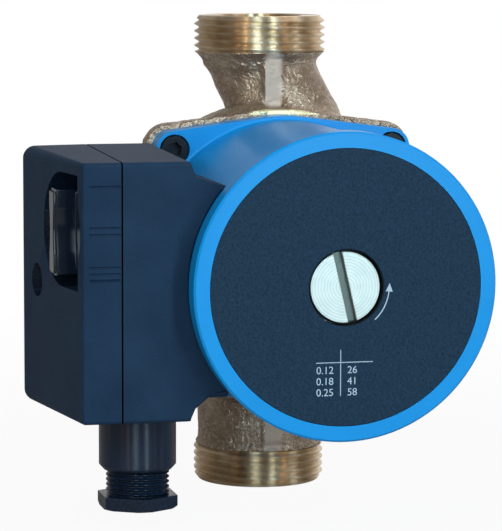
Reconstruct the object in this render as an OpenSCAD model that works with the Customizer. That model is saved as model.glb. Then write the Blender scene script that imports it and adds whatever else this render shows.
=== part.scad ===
// Circulation pump with a wet rotor: a cast bronze volute housing with two threaded ports in line,
// a round motor on its flange, a terminal box with a speed knob on the motor's left side, and a
// cable gland under the box. Millimetres. The origin is the centre of the lower port's end face,
// +Z runs up the port axis, and the motor points towards -Y.

/* [Ports] */
// Distance between the end faces of the two ports
port_span = 150; // [140:1:190]
// Outer radius of the pipe thread on each port, G 1 1/4
thread_r = 20.955; // [19.5:0.005:23]
// Length of the thread on each port
thread_len = 11.4; // [9:0.1:13]
// Radius of the bore in each port
port_bore_r = 13; // [11:0.1:14.5]
// Depth of the full bore in each port
port_bore_len = 22; // [16:0.5:26]
// Radius of the lower neck
inlet_neck_r = 19.8; // [18:0.1:20.5]
// Radius of the upper neck under its thread
outlet_neck_r = 18.3; // [17:0.1:20]

/* [Pump housing] */
// Distance from the port axis to the joint between pump and motor
joint_w = 25; // [22:0.5:32]
// Thickness of the bronze flange
cast_flange_t = 8; // [6:0.1:10]
// Radius of the casting's four corners round the screws
cast_lobe_r = 7.4; // [6.5:0.1:9]
// Wall behind the impeller chamber's rim
bowl_wall = 5; // [4:0.1:7]
// Radius of the suction channel behind the impeller
channel_r = 11; // [9:0.1:11.5]

/* [Impeller] */
// Outer radius of the impeller
impeller_r = 32; // [28:0.1:32.5]
// Height of the vanes
vane_h = 4; // [3:0.1:5]
// Number of vanes
vane_count = 7; // [5:1:9]
// Radius of the shaft
shaft_r = 5; // [4:0.1:5.5]

/* [Motor] */
// Length of the motor from the joint to its front face
motor_len = 83; // [80:1:100]
// Outer radius of the motor barrel
barrel_r = 43.5; // [43:0.1:52]
// Wall of the motor barrel
barrel_wall = 3; // [2.4:0.1:3.4]
// Thickness of the motor flange
motor_flange_t = 8; // [7:0.1:10]
// Radius of the motor flange's four corners round the screws
motor_lobe_r = 5.8; // [5.6:0.1:8]
// Radius of the name plate
plate_r = 40.5; // [36:0.1:41]
// Radius of the vent screw's head
vent_head_r = 10.4; // [9.5:0.1:10.6]
// Radius of the rotor
rotor_r = 16.4; // [14:0.1:16.6]
// Length of the rotor and of the stator's iron
iron_len = 40; // [34:1:40]

/* [Flange screws] */
// Distance of the flange screws outside the barrel
screw_offset = 5.7; // [5:0.1:6.2]
// Radius of a flange screw's shank
flange_screw_r = 2.5; // [2:0.1:2.6]
// Radius of a flange screw's head
flange_head_r = 4.25; // [3.8:0.05:4.3]

/* [Terminal box] */
// Depth of the box along the motor
box_depth = 59; // [59:1:64]
// Distance of the box's front behind the motor's face
box_setback = 13; // [12:0.5:14]
// Height of the box above the motor axis
box_top = 36.2; // [35:0.1:40]
// Depth of the box below the motor axis
box_bottom = 39.8; // [38:0.1:42]
// Growth of the box's height at its back, above and below
box_flare = 1.1; // [0:0.1:1.5]
// Distance of the seam between base and cover outside the barrel
base_reach = 19.9; // [19:0.1:23]
// Reach of the cover beyond the seam at its front
cover_front_reach = 11.9; // [10:0.1:14]
// Reach of the cover beyond the seam at its back
cover_back_reach = 19.8; // [18:0.1:22]
// Wall of the box
box_wall = 2.2; // [1.8:0.1:2.6]

/* [Speed knob] */
// Radius of the knob
knob_r = 12; // [10:0.1:12.5]
// Reach of the knob's pointer from its axis
pointer_reach = 13.6; // [13:0.1:14.5]
// Height of the knob's axis above the motor axis
knob_up = 15.5; // [14:0.1:17]
// Distance of the knob's axis behind the box's front
knob_back = 18.5; // [18:0.1:20]
// Radius of the pocket round the knob
pocket_r = 16.8; // [16:0.1:17.5]

/* [Cable gland] */
// Radius of the moulded collar
gland_collar_r = 11.6; // [11:0.1:12.5]
// Length of the moulded collar
gland_collar_len = 16.7; // [16:0.1:18]
// Radius of the gland screw's thread
gland_thread_r = 9.55; // [9:0.05:10]
// Height of the gland screw's hexagon head
gland_head_h = 4; // [3.5:0.1:5]
// Radius of the cable entry in the gland screw
cable_r = 6; // [4:0.1:6.5]

/* [Hidden] */
$fn = 96;

// Overrun of every cut past the face it leaves
overrun = 1;
// Gap between a turning journal and its bearing
running_gap = 0.04;
// Gap round a piece that is pressed or screwed home
press_gap = 0.02;
// Gap between pieces that must stay clear of each other
free_gap = 0.3;

// Height of the motor axis over the origin
axis_h = port_span / 2;
motor_face_w = joint_w + motor_len;
flange_face_w = joint_w + motor_flange_t;

// Colours as the photograph shows them
bronze = "#8c7458";
blue = "#2a9be0";
black = "#22262b";
steel = "#c4c8ca";
brass = "#c9a55c";
plate_navy = "#22303f";

// Puts a piece that is drawn with its axis up onto the motor axis: X stays, Y becomes up,
// and Z becomes the distance in front of the port axis.
module on_motor() {
  translate([0, 0, axis_h]) rotate([90, 0, 0]) children();
}

// Puts a piece that is drawn with its axis up onto a line that runs left out of the motor, at a
// place given along the motor and up from its axis. Z becomes the distance left of the axis.
module on_left(w, up) {
  translate([0, -w, axis_h + up]) rotate([0, -90, 0]) children();
}

// A round bar between two points
module bar(a, b, r) {
  run = b - a;
  translate(a)
    rotate([0, acos(run[2] / norm(run)), atan2(run[1], run[0])])
      cylinder(h = norm(run), r = r);
}

// A ring on the motor axis between two places and two radii
module motor_ring(r_in, r_out, w0, w1) {
  on_motor() translate([0, 0, w0]) difference() {
    cylinder(h = w1 - w0, r = r_out);
    translate([0, 0, -overrun]) cylinder(h = w1 - w0 + overrun + overrun, r = r_in);
  }
}

// A block in the box: places along the motor, up from its axis, and left of its axis
module box_block(w0, w1, up0, up1, d0, d1) {
  translate([-d1, -w1, axis_h + up0]) cube([d1 - d0, w1 - w0, up1 - up0]);
}

// FLANGE OUTLINE, shared by the pump housing and the motor
screw_circle_r = barrel_r + screw_offset;
motor_flange_lip = 1.3;
motor_flange_r = barrel_r + motor_flange_lip;
cast_flange_extra = 1.5;
cast_flange_r = motor_flange_r + cast_flange_extra;

// The straight sides end this far inside the rounds that they join
side_inset = 0.03;

// A disc with four corners round the screws, joined to it by straight sides
module lobed_disc(disc_r, lobe_r) {
  tangent = acos((disc_r - lobe_r) / screw_circle_r);
  across = [cos(tangent), sin(tangent)];
  other = [cos(tangent), -sin(tangent)];
  corner = [screw_circle_r, 0];
  circle(disc_r);
  for (i = [0 : 3]) rotate(45 + i * 90) {
    translate(corner) circle(lobe_r);
    polygon([
      (disc_r - side_inset) * across, corner + (lobe_r - side_inset) * across,
      corner + (lobe_r - side_inset) * other, (disc_r - side_inset) * other
    ]);
  }
}

// Places its children at the four flange screws
module at_flange_screws(w) {
  on_motor() for (i = [0 : 3]) rotate(45 + i * 90) translate([screw_circle_r, 0, w]) children();
}

// JOINT STACK: gasket, bearing plate and can flange lie in the housing's register
register_inset = 1.5;
register_r = barrel_r - register_inset;
gasket_t = 1.5;
gasket_w = 2;
plate_t = 1.5;
can_flange_t = 0.8;
spigot_len = 1.7;
seat_w = joint_w - gasket_t - plate_t - can_flange_t - spigot_len;
bearing_plate_w = seat_w + gasket_t;
can_flange_w = bearing_plate_w + plate_t;
spigot_w = can_flange_w + can_flange_t;
seat_r = register_r - gasket_w - free_gap;

// IMPELLER PLACES, from the bearing plate back to the chamber's floor
impeller_gap = 0.9;
disc_t = 1.5;
shroud_t = 1.2;
collar_len = 4;
collar_r = 12.2;
eye_r = 10.4;
disc_w = bearing_plate_w - impeller_gap - disc_t;
vane_w = disc_w - vane_h;
shroud_w = vane_w - shroud_t;
chamber_w = shroud_w - impeller_gap;
ring_wall = 2;
ring_seat_r = collar_r + free_gap + ring_wall;
ring_floor_w = chamber_w - collar_len;

// PUMP HOUSING
// One bronze sand casting. The suction neck runs straight up behind the impeller and ends in a
// dome. The spiral chamber lies in front of it, and its outlet leans back to the port axis.
port_chamfer_r = 1.5;
port_chamfer_h = 1.9;
thread_runout = 2.6;
inlet_shoulder_h = 1.4;
bowl_back_w = 4;
bowl_corner_r = 9;
bowl_bulge = 3.8;
bowl_r = motor_flange_r + bowl_bulge;
bowl_taper = 7;
channel_back = 3;
outlet_lean_r = 16;
outlet_taper = 3;
outlet_bore_r = 11;
outlet_bend_drop = 15.5;
outlet_foot = [14, -10.7, -31];
throat_foot = [9, -15.6, -43];
throat_wall = 3.5;
spiral_r = impeller_r + 1.6;
spiral_growth = seat_r - spiral_r;
tongue_angle = 110;
spiral_steps = 72;
pad_w = 6.4;
pad_stand = 0.4;

function spiral(i) =
  let (turn = i / spiral_steps, a = tongue_angle + 360 * turn, r = spiral_r + spiral_growth * turn)
  r * [cos(a), sin(a)];

module port_thread() {
  rotate_extrude() polygon([
    [0, 0], [thread_r - port_chamfer_r, 0], [thread_r, port_chamfer_h],
    [thread_r, thread_len], [0, thread_len]
  ]);
}

module bowl() {
  on_motor() rotate_extrude() union() {
    translate([0, bowl_back_w]) square([bowl_r - bowl_corner_r, joint_w - bowl_back_w]);
    polygon([
      [0, bowl_back_w + bowl_corner_r], [bowl_r, bowl_back_w + bowl_corner_r],
      [bowl_r, joint_w - bowl_taper], [cast_flange_r, joint_w], [0, joint_w]
    ]);
    intersection() {
      translate([bowl_r - bowl_corner_r, bowl_back_w + bowl_corner_r]) circle(bowl_corner_r);
      square([bowl_r, joint_w]);
    }
  }
}

module pump_housing() {
  bend = [0, 0, port_span - outlet_bend_drop];
  outlet_pad_w = outlet_neck_r + pad_stand;
  color(bronze) difference() {
    union() {
      bowl();
      on_motor() translate([0, 0, joint_w - cast_flange_t]) linear_extrude(cast_flange_t)
        lobed_disc(cast_flange_r, cast_lobe_r);
      port_thread();
      translate([0, 0, port_span]) mirror([0, 0, 1]) port_thread();
      translate([0, 0, thread_len])
        cylinder(h = inlet_shoulder_h, r1 = thread_r, r2 = inlet_neck_r);
      translate([0, 0, thread_len]) cylinder(h = axis_h - thread_len, r = inlet_neck_r);
      translate([0, 0, axis_h]) sphere(inlet_neck_r);
      translate([0, 0, port_span - thread_len - thread_runout])
        cylinder(h = thread_runout, r1 = outlet_neck_r, r2 = thread_r);
      translate(bend) cylinder(h = outlet_bend_drop - thread_len, r = outlet_neck_r);
      translate(bend - [0, 0, outlet_taper])
        cylinder(h = outlet_taper, r1 = outlet_lean_r, r2 = outlet_neck_r);
      intersection() {
        union() {
          translate(bend) sphere(outlet_lean_r);
          bar(bend, bend + outlet_foot, outlet_lean_r);
          translate(bend + outlet_foot) sphere(outlet_lean_r);
          bar(bend, bend + throat_foot, outlet_bore_r + throat_wall);
        }
        translate([-barrel_r, -joint_w, axis_h])
          cube([2 * barrel_r, 2 * joint_w, axis_h - thread_len]);
      }
      translate([-pad_w / 2, -outlet_pad_w, axis_h + bowl_r])
        cube([pad_w, outlet_neck_r, axis_h - bowl_r - thread_len - thread_runout]);
      translate([-pad_w / 2, -inlet_neck_r - pad_stand, thread_len + thread_runout])
        cube([pad_w, inlet_neck_r, axis_h - barrel_r - thread_len]);
    }
    // the bore of each port
    translate([0, 0, -overrun]) cylinder(h = port_bore_len + overrun, r = port_bore_r);
    translate([0, 0, port_span - port_bore_len])
      cylinder(h = port_bore_len + overrun, r = port_bore_r);
    // the suction channel, which bends forward to the impeller's eye
    translate([0, channel_back, port_bore_len - overrun])
      cylinder(h = axis_h - port_bore_len + overrun, r = channel_r);
    translate([0, channel_back, axis_h]) sphere(channel_r);
    on_motor() translate([0, 0, -channel_back])
      cylinder(h = channel_back + chamber_w + overrun, r = eye_r);
    on_motor() translate([0, 0, ring_floor_w])
      cylinder(h = collar_len + overrun, r = ring_seat_r);
    // the spiral chamber and its outlet
    on_motor() translate([0, 0, chamber_w]) linear_extrude(seat_w - chamber_w + overrun)
      polygon([for (i = [0 : spiral_steps]) spiral(i)]);
    bar(bend, bend + throat_foot, outlet_bore_r);
    translate(bend) sphere(outlet_bore_r);
    // the flat down the front of the upper neck
    translate([-pad_w / 2, -joint_w - overrun, axis_h + cast_flange_r])
      cube([pad_w, joint_w + overrun - outlet_pad_w, axis_h - cast_flange_r - thread_len]);
    // the register for the joint's stack
    on_motor() translate([0, 0, seat_w]) cylinder(h = joint_w - seat_w + overrun, r = register_r);
    at_flange_screws(flange_face_w - flange_screw_len - free_gap)
      cylinder(h = flange_screw_len + overrun, r = flange_screw_r + press_gap);
  }
}

// NECK RING, pressed into the housing round the impeller's eye
module neck_ring() {
  color(steel) motor_ring(collar_r + free_gap, ring_seat_r - press_gap, ring_floor_w, chamber_w);
}

// HOUSING GASKET, a flat rubber ring in the bottom of the register
module housing_gasket() {
  color("#1d1d1d") motor_ring(seat_r + press_gap, register_r - press_gap, seat_w, bearing_plate_w);
}

// BEARINGS AND THE PLATE THAT CARRIES THE FIRST
bearing_wall = 3.6;
bearing_len = 9.6;
bearing_r = shaft_r + running_gap + bearing_wall;
hub_wall = 2.4;
hub_r = bearing_r + press_gap + hub_wall;
plate_hole_r = 2;
plate_hole_circle_share = 0.5;

module bearing_plate() {
  color(steel) on_motor() difference() {
    union() {
      translate([0, 0, bearing_plate_w]) cylinder(h = plate_t, r = register_r - press_gap);
      translate([0, 0, bearing_plate_w]) cylinder(h = bearing_len, r = hub_r);
    }
    translate([0, 0, bearing_plate_w - overrun])
      cylinder(h = bearing_len + overrun + overrun, r = bearing_r + press_gap);
    for (i = [0 : 3]) rotate(i * 90)
      translate([register_r * plate_hole_circle_share, 0, bearing_plate_w - overrun])
        cylinder(h = plate_t + overrun + overrun, r = plate_hole_r);
  }
}

module impeller_bearing() {
  color("#3a3a3c") motor_ring(shaft_r + running_gap, bearing_r, bearing_plate_w,
    bearing_plate_w + bearing_len);
}

// ROTOR PLACES, from the motor's face back
vent_recess = 1.8;
vent_head_t = 2.4;
vent_seal_t = 1.2;
vent_shank_r = 8.33;
nose_wall = 2.6;
nose_r = vent_shank_r + running_gap + nose_wall;
can_end_back = 10;
can_wall = 0.6;
can_gap = 0.8;
can_r = rotor_r + can_gap + can_wall;
vent_head_w = motor_face_w - vent_recess - vent_head_t;
nose_w = vent_head_w - vent_seal_t;
can_end_w = motor_face_w - can_end_back;
carrier_len = 6.5;
carrier_gap = 1.5;
carrier_w = can_end_w - can_wall - carrier_gap - carrier_len;
iron_gap = 3.4;
iron_w = carrier_w - iron_gap - iron_len;

// ROTOR CAN, a drawn steel cup that keeps the water off the stator
module rotor_can() {
  color(steel) on_motor() difference() {
    union() {
      translate([0, 0, can_flange_w]) cylinder(h = can_flange_t, r = register_r - press_gap);
      translate([0, 0, can_flange_w]) cylinder(h = can_end_w - can_flange_w, r = can_r);
      translate([0, 0, can_end_w - overrun]) cylinder(h = nose_w - can_end_w + overrun, r = nose_r);
    }
    translate([0, 0, can_flange_w - overrun])
      cylinder(h = can_end_w - can_flange_w - can_wall + overrun, r = can_r - can_wall);
    translate([0, 0, can_end_w - overrun - overrun])
      cylinder(h = nose_w - can_end_w + 3 * overrun, r = vent_shank_r + running_gap);
  }
}

module vent_bearing() {
  color("#3a3a3c") motor_ring(shaft_r + running_gap, bearing_r, carrier_w, carrier_w + carrier_len);
}

// BEARING CARRIER, a rubber-backed ring that centres the second bearing in the can
module bearing_carrier() {
  color("#26282a") motor_ring(bearing_r + press_gap, can_r - can_wall - press_gap, carrier_w,
    carrier_w + carrier_len);
}

// SHAFT, ceramic, with a screwdriver slot in the end behind the vent screw
shaft_nose = 3.2;
shaft_slot_w = 1.4;
shaft_slot_d = 1.6;
shaft_tail = 1.2;
shaft_w0 = disc_w - shaft_nose;
shaft_w1 = carrier_w + carrier_len + shaft_tail;
module shaft() {
  color("#e8e6e0") on_motor() difference() {
    translate([0, 0, shaft_w0]) cylinder(h = shaft_w1 - shaft_w0, r = shaft_r);
    translate([-shaft_slot_w / 2, -shaft_r - overrun, shaft_w1 - shaft_slot_d])
      cube([shaft_slot_w, 2 * (shaft_r + overrun), shaft_slot_d + overrun]);
  }
}

// ROTOR CORE, the squirrel cage in its steel sleeve
rotor_chamfer = 1.2;
module rotor_core() {
  color("#a9adb0") on_motor() difference() {
    translate([0, 0, iron_w]) rotate_extrude() polygon([
      [0, 0], [rotor_r - rotor_chamfer, 0], [rotor_r, rotor_chamfer],
      [rotor_r, iron_len - rotor_chamfer], [rotor_r - rotor_chamfer, iron_len], [0, iron_len]
    ]);
    translate([0, 0, iron_w - overrun])
      cylinder(h = iron_len + overrun + overrun, r = shaft_r + press_gap);
  }
}

// THRUST RING, turns with the shaft against the first bearing
thrust_len = 3;
module thrust_ring() {
  thrust_w = bearing_plate_w + bearing_len + free_gap;
  color("#45474a") motor_ring(shaft_r + press_gap, bearing_r, thrust_w, thrust_w + thrust_len);
}

// IMPELLER, moulded in two halves: the disc with its hub and curved vanes, and the shroud
hub_extra = 2.6;
vane_t = 1.6;
vane_root_r = 13;
vane_arc_r = 22;
vane_arc_offset = 17;
vane_tip_gap = 0.4;
module vane() {
  intersection() {
    translate([vane_arc_offset, 0]) difference() {
      circle(vane_arc_r + vane_t / 2);
      circle(vane_arc_r - vane_t / 2);
    }
    difference() {
      circle(impeller_r - vane_tip_gap);
      circle(vane_root_r);
    }
    translate([-impeller_r, 0]) square([2 * impeller_r, impeller_r]);
  }
}

module impeller() {
  color("#d9cfae") on_motor() difference() {
    union() {
      translate([0, 0, disc_w]) cylinder(h = disc_t, r = impeller_r);
      translate([0, 0, disc_w - hub_extra]) cylinder(h = hub_extra + disc_t, r = bearing_r);
      translate([0, 0, vane_w]) linear_extrude(vane_h + disc_t / 2)
        for (i = [0 : vane_count - 1]) rotate(i * 360 / vane_count) vane();
    }
    translate([0, 0, vane_w - overrun])
      cylinder(h = vane_h + disc_t + overrun + overrun, r = shaft_r + press_gap);
  }
}

module impeller_shroud() {
  color("#d9cfae") {
    on_motor() difference() {
      union() {
        translate([0, 0, shroud_w]) cylinder(h = shroud_t, r = impeller_r);
        translate([0, 0, shroud_w - collar_len]) cylinder(h = collar_len + shroud_t, r = collar_r);
      }
      translate([0, 0, shroud_w - collar_len - overrun])
        cylinder(h = collar_len + shroud_t + overrun + overrun, r = eye_r);
    }
  }
}

// STATOR, a stack of slotted iron, and the winding that lies in the slots and over both ends
bore_r = barrel_r - barrel_wall;
stator_r = bore_r - press_gap;
slot_count = 12;
slot_r = 3.4;
slot_circle_r = 29;
slot_mouth = 2.4;
coil_gap = 0.4;
coil_end = 7.6;
coil_in_r = 22;
coil_out_r = 35.4;
module stator_core() {
  color("#8d8f92") on_motor() translate([0, 0, iron_w]) difference() {
    cylinder(h = iron_len, r = stator_r);
    translate([0, 0, -overrun])
      cylinder(h = iron_len + overrun + overrun, r = can_r + free_gap);
    for (i = [0 : slot_count - 1]) rotate(i * 360 / slot_count)
      translate([0, 0, -overrun]) linear_extrude(iron_len + overrun + overrun) {
        translate([slot_circle_r, 0]) circle(slot_r);
        translate([can_r, -slot_mouth / 2]) square([slot_circle_r - can_r, slot_mouth]);
      }
  }
}

module stator_windings() {
  color("#a4552c") on_motor() translate([0, 0, iron_w]) {
    for (w = [-coil_end, iron_len]) translate([0, 0, w]) difference() {
      cylinder(h = coil_end, r = coil_out_r);
      translate([0, 0, -overrun]) cylinder(h = coil_end + overrun + overrun, r = coil_in_r);
    }
    for (i = [0 : slot_count - 1]) rotate(i * 360 / slot_count)
      translate([slot_circle_r, 0, -coil_end / 2])
        cylinder(h = iron_len + coil_end, r = slot_r - coil_gap);
  }
}

// MOTOR HOUSING
// One aluminium die casting, painted blue: a flange with four corners, a round barrel, and a
// thick rim at the front that stands a little proud and holds the name plate.
lip_stand = 1.7;
lip_r = barrel_r + lip_stand;
lip_len = 7;
lip_round = 0.6;
front_wall = 7;
plate_thick = 0.8;
vent_hole_r = nose_r + free_gap;
recess_gap = 0.5;
recess_depth = 5;
boss_r = 3.1;
boss_reach = 36.4;
box_gap = 0.25;
lead_hole_r = 3;

// Places along the motor of the screws through the box's base, and of the lead hole
box_screw_r = 2;
box_front_w = motor_face_w - box_setback;
box_back_w = box_front_w - box_depth;
box_screw_in = 5.8;
lead_in = 6.2;
box_screw_ws = [box_back_w + box_screw_in, box_front_w - box_screw_in];
box_screw_up = 0;
earth_up = -14;
lead_w = box_back_w + lead_in;
lead_up = -12;

module housing_boss(w, up) {
  on_left(w, up) translate([0, 0, boss_reach])
    cylinder(h = barrel_r - barrel_wall / 2 - boss_reach, r = boss_r);
}

module motor_housing() {
  inner_front_w = motor_face_w - front_wall;
  color(blue) difference() {
    union() {
      on_motor() difference() {
        union() {
          translate([0, 0, joint_w]) linear_extrude(motor_flange_t)
            lobed_disc(motor_flange_r, motor_lobe_r);
          translate([0, 0, spigot_w])
            cylinder(h = joint_w - spigot_w + motor_flange_t / 2, r = register_r - press_gap);
          translate([0, 0, joint_w]) rotate_extrude() polygon([
            [0, motor_flange_t / 2], [barrel_r, motor_flange_t / 2],
            [barrel_r, motor_len - lip_len], [lip_r, motor_len - lip_len],
            [lip_r, motor_len - lip_round], [lip_r - lip_round, motor_len], [0, motor_len]
          ]);
        }
        translate([0, 0, spigot_w - overrun])
          cylinder(h = inner_front_w - spigot_w + overrun, r = bore_r);
      }
      intersection() {
        union() {
          for (w = box_screw_ws) housing_boss(w, box_screw_up);
          housing_boss(box_screw_ws[1], earth_up);
        }
        on_motor() translate([0, 0, joint_w]) cylinder(h = motor_len, r = barrel_r - barrel_wall / 2);
      }
    }
    on_motor() {
      translate([0, 0, inner_front_w - overrun])
        cylinder(h = front_wall + overrun + overrun, r = vent_hole_r);
      translate([0, 0, motor_face_w - plate_thick])
        cylinder(h = plate_thick + overrun, r = plate_r + press_gap);
    }
    at_flange_screws(joint_w - overrun)
      cylinder(h = motor_flange_t + overrun, r = flange_screw_r + free_gap);
    at_flange_screws(flange_face_w - recess_depth)
      cylinder(h = recess_depth, r = flange_head_r + recess_gap);
    for (w = box_screw_ws) on_left(w, box_screw_up) translate([0, 0, boss_reach - overrun])
      cylinder(h = barrel_r - boss_reach + overrun + overrun, r = box_screw_r + press_gap);
    on_left(box_screw_ws[1], earth_up) translate([0, 0, boss_reach - overrun])
      cylinder(h = barrel_r - boss_reach + overrun + overrun, r = box_screw_r + press_gap);
    on_left(lead_w, lead_up) translate([0, 0, boss_reach])
      cylinder(h = barrel_r - boss_reach + overrun, r = lead_hole_r);
  }
}

// NAME PLATE, a printed disc in the front rim
module name_plate() {
  color(plate_navy)
    motor_ring(vent_hole_r, plate_r, motor_face_w - plate_thick, motor_face_w);
}

// VENT SCREW, turned, with a slot right across its head, and the seal under the head
vent_slot_w = 2.6;
vent_slot_d = 2;
vent_slot_angle = -13;
vent_shank_len = 4.6;
module vent_screw() {
  color("#e3ece4") on_motor() difference() {
    union() {
      translate([0, 0, vent_head_w]) cylinder(h = vent_head_t, r = vent_head_r);
      translate([0, 0, vent_head_w - vent_shank_len])
        cylinder(h = vent_shank_len + vent_head_t / 2, r = vent_shank_r);
    }
    rotate(90 - vent_slot_angle)
      translate([-vent_head_r - overrun, -vent_slot_w / 2, vent_head_w + vent_head_t - vent_slot_d])
        cube([2 * (vent_head_r + overrun), vent_slot_w, vent_slot_d + overrun]);
  }
}

module vent_seal() {
  color("#1d1d1d") motor_ring(vent_shank_r + free_gap, nose_r, nose_w, vent_head_w);
}

// FLANGE SCREWS, four socket cap screws
socket_r = 2.3;
socket_depth = 2.6;
flange_screw_len = 14.6;
module flange_screws() {
  color("#2b2d30") at_flange_screws(flange_face_w - recess_depth) difference() {
    union() {
      cylinder(h = 2 * flange_screw_r, r = flange_head_r);
      translate([0, 0, -flange_screw_len + recess_depth])
        cylinder(h = flange_screw_len - recess_depth + flange_screw_r, r = flange_screw_r);
    }
    translate([0, 0, 2 * flange_screw_r - socket_depth])
      cylinder(h = socket_depth + overrun, r = socket_r, $fn = 6);
  }
}

// TERMINAL BOX
// Base and cover meet at an upright seam. The base wraps the barrel with a hollow side and two
// ears, and the cover's left side slants outwards towards the back.
shoulder_in = 0.2;
notch_in = 2.1;
ear_in = 11.2;
heel_in = 5.6;
cavity_out = 1.8;
arc_r = barrel_r + box_gap;
seam_d = barrel_r + base_reach;
cover_front_d = seam_d + cover_front_reach;
cover_back_d = seam_d + cover_back_reach;
slant = (cover_back_d - cover_front_d) / box_depth;
side_r = 1.2;
shoulder_d = barrel_r - shoulder_in;
notch_d = barrel_r - notch_in;
ear_d = barrel_r - ear_in;
notch_drop = 4.5;
ear_drop = 7.3;
notch_rise = 3.7;
ear_rise = 7;
heel_rise = 6.9;
heel_d = barrel_r - heel_in;
cavity_side_d = barrel_r + cavity_out;
floor_r = arc_r + box_wall;

// The box seen from the front, drawn to the left of the motor axis
module base_front_outline() {
  difference() {
    polygon([
      [-seam_d, box_top + box_flare], [-shoulder_d, box_top + box_flare],
      [-shoulder_d, box_top], [-notch_d, box_top - notch_drop],
      [-ear_d, box_top - ear_drop], [-ear_d / 2, 0], [-ear_d, -box_bottom + ear_rise],
      [-heel_d, -box_bottom + heel_rise], [-notch_d - free_gap, -box_bottom + notch_rise],
      [-shoulder_d, -box_bottom], [-shoulder_d, -box_bottom - box_flare],
      [-seam_d, -box_bottom - box_flare]
    ]);
    circle(arc_r);
  }
}

// The box seen from the left side, with its long edges rounded; X runs forward and Y up. It is a
// little higher at its back than at its front.
module side_outline(inset) {
  hull() for (end = [
    [box_back_w + inset + side_r, inset + side_r - box_flare],
    [box_front_w - inset - side_r, inset + side_r]
  ])
    for (up = [-box_bottom + end[1], box_top - end[1]])
      translate([end[0], up]) circle(side_r, $fn = 32);
}

// Stretches a side outline from one distance left of the axis to another
module side_slab(inset, d0, d1) {
  translate([-d0, 0, axis_h]) rotate([90, 0, -90]) linear_extrude(d1 - d0)
    side_outline(inset);
}

// Cover screw, gasket and pocket places
cover_screw_in = 17;
cover_screw_w = box_back_w + cover_screw_in;
cover_screw_up = -2;
cover_screw_r = 2;
cover_screw_head_r = 3.9;
cover_screw_head_t = 2.5;
screw_well_r = 5;
screw_well_depth = 6.6;
well_d = seam_d + cover_back_reach - slant * cover_screw_in - screw_well_depth;
post_r = 4.4;
post_gap = 0.8;
gasket_in = 0.7;
gasket_band = 0.9;
gasket_sink = 0.9;
knob_w = box_front_w - knob_back;
pocket_floor_out = 5.1;
pocket_floor_d = seam_d + pocket_floor_out;
pocket_floor_t = 2;
pocket_front_in = 4;
pocket_front_w = box_front_w - pocket_front_in;
gland_back = 28.5;
gland_w = box_front_w - gland_back;
gland_in = 10;
gland_d = seam_d - gland_in;
cavity_front_w = box_front_w - box_wall;
cavity_back_w = box_back_w + box_wall;

module gasket_groove() {
  difference() {
    side_slab(gasket_in, seam_d - gasket_sink, seam_d);
    side_slab(gasket_in + gasket_band, seam_d - gasket_sink - overrun, seam_d + overrun);
  }
}

// CABLE GLAND PLACES, down from the box's underside
gland_mouth_h = 1.6;
gland_mouth_wall = 0.6;
gland_top = axis_h - box_bottom;
gland_mouth_z = gland_top - gland_collar_len - gland_mouth_h;
gland_mouth_r = gland_thread_r + gland_mouth_wall;
gland_bore_r = 7.4;
gland_in_mouth = 6.5;
gland_out_mouth = 7.5;
slip_ring_h = 1.5;
seal_h = 6;
gland_screw_top = gland_mouth_z + gland_in_mouth;
gland_head_z = gland_mouth_z - gland_out_mouth - gland_head_h;
gland_seat_z = gland_screw_top + slip_ring_h + free_gap;
gland_seal_top = gland_seat_z + seal_h;

module at_gland(z) {
  translate([-gland_d, -gland_w, z]) children();
}

module terminal_box_base() {
  color(black) difference() {
    union() {
      intersection() {
        on_motor() translate([0, 0, box_back_w]) linear_extrude(box_depth) base_front_outline();
        side_slab(0, ear_d - overrun, seam_d);
      }
      at_gland(gland_mouth_z + gland_mouth_h) cylinder(h = gland_collar_len, r = gland_collar_r);
      at_gland(gland_mouth_z)
        cylinder(h = gland_mouth_h, r1 = gland_mouth_r, r2 = gland_collar_r);
    }
    difference() {
      translate([-seam_d - overrun, -cavity_front_w, axis_h - box_bottom + box_wall])
        cube([seam_d - cavity_side_d + overrun, cavity_front_w - cavity_back_w,
          box_top + box_bottom - 2 * box_wall]);
      on_motor() cylinder(h = box_front_w, r = floor_r);
      on_left(cover_screw_w, cover_screw_up)
        cylinder(h = seam_d - post_gap, r = post_r);
    }
    gasket_groove();
    on_left(cover_screw_w, cover_screw_up) translate([0, 0, floor_r + free_gap])
      cylinder(h = seam_d - floor_r, r = cover_screw_r + press_gap);
    for (w = box_screw_ws) on_left(w, box_screw_up)
      cylinder(h = seam_d, r = box_screw_r + free_gap);
    on_left(box_screw_ws[1], earth_up) cylinder(h = seam_d, r = box_screw_r + free_gap);
    on_left(lead_w, lead_up) cylinder(h = seam_d, r = lead_hole_r);
    // the collar's bore, and room between the collar and the cover above it
    at_gland(gland_mouth_z - overrun)
      cylinder(h = gland_top - gland_mouth_z + box_wall + overrun + overrun, r = gland_bore_r);
    at_gland(gland_mouth_z - overrun)
      cylinder(h = gland_seal_top - gland_mouth_z + overrun, r = gland_thread_r + running_gap);
    translate([-seam_d - gland_collar_r, -box_front_w, gland_top - box_flare - free_gap])
      cube([gland_collar_r, box_depth, box_flare + free_gap + overrun]);
  }
}

// BOX GASKET, a rubber cord in the base's rim
module box_gasket() {
  color("#1d1d1d") difference() {
    side_slab(gasket_in + press_gap, seam_d - gasket_sink, seam_d);
    side_slab(gasket_in + gasket_band - press_gap, seam_d - gasket_sink - overrun,
      seam_d + overrun);
  }
}

// The cover's solid form: small corners at the front, large ones at the back
cover_front_r = 1.2;
cover_back_r = 3.8;
module cover_corner(w, up, d, r) {
  on_left(w, up) translate([0, 0, d - r]) sphere(r, $fn = 32);
}

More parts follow.
